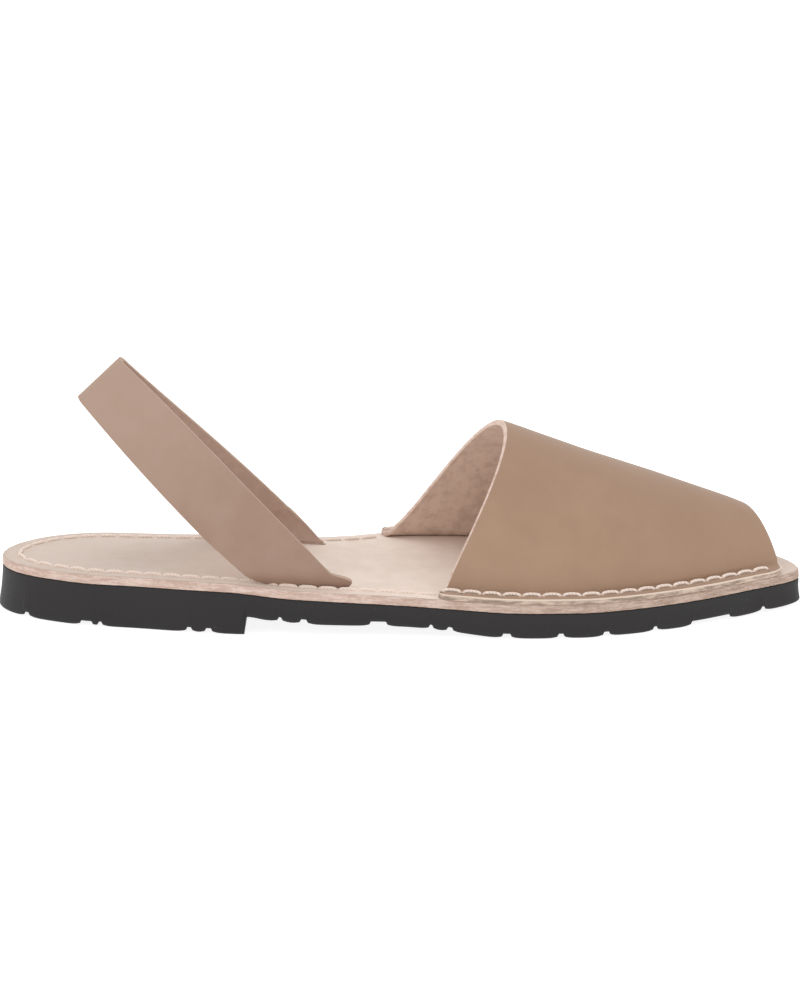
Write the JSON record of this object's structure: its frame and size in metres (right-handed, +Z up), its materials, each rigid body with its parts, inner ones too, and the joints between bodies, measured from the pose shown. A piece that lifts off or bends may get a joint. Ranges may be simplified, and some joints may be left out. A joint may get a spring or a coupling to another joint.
{
  "type": "avarca_sandal",
  "caption": "Flat slingback avarca sandal for the right foot: peep-toe leather vamp, leather footbed, leather heel strap, black rubber outsole with a low heel",
  "frame": {"origin": "on the ground under the middle of the sandal's bounding box", "axes": "+X points to the toe, the longest way; +Y points to the big-toe side; +Z points up from the ground"},
  "size_m": [0.2672, 0.0946, 0.0847],
  "materials": {
    "sole_rubber": "matte moulded rubber, almost black",
    "footbed_leather": "smooth undyed leather, pale pinkish beige, raw fibrous edge",
    "vamp_leather": "nubuck-like taupe leather, soft low sheen",
    "strap_leather": "the vamp's taupe leather, a little lighter towards the back"
  },
  "bodies": {
    "root": {"outsole": "sole_rubber", "footbed": "footbed_leather", "vamp": "vamp_leather", "heel_strap": "strap_leather"}
  },
  "joints": []
}
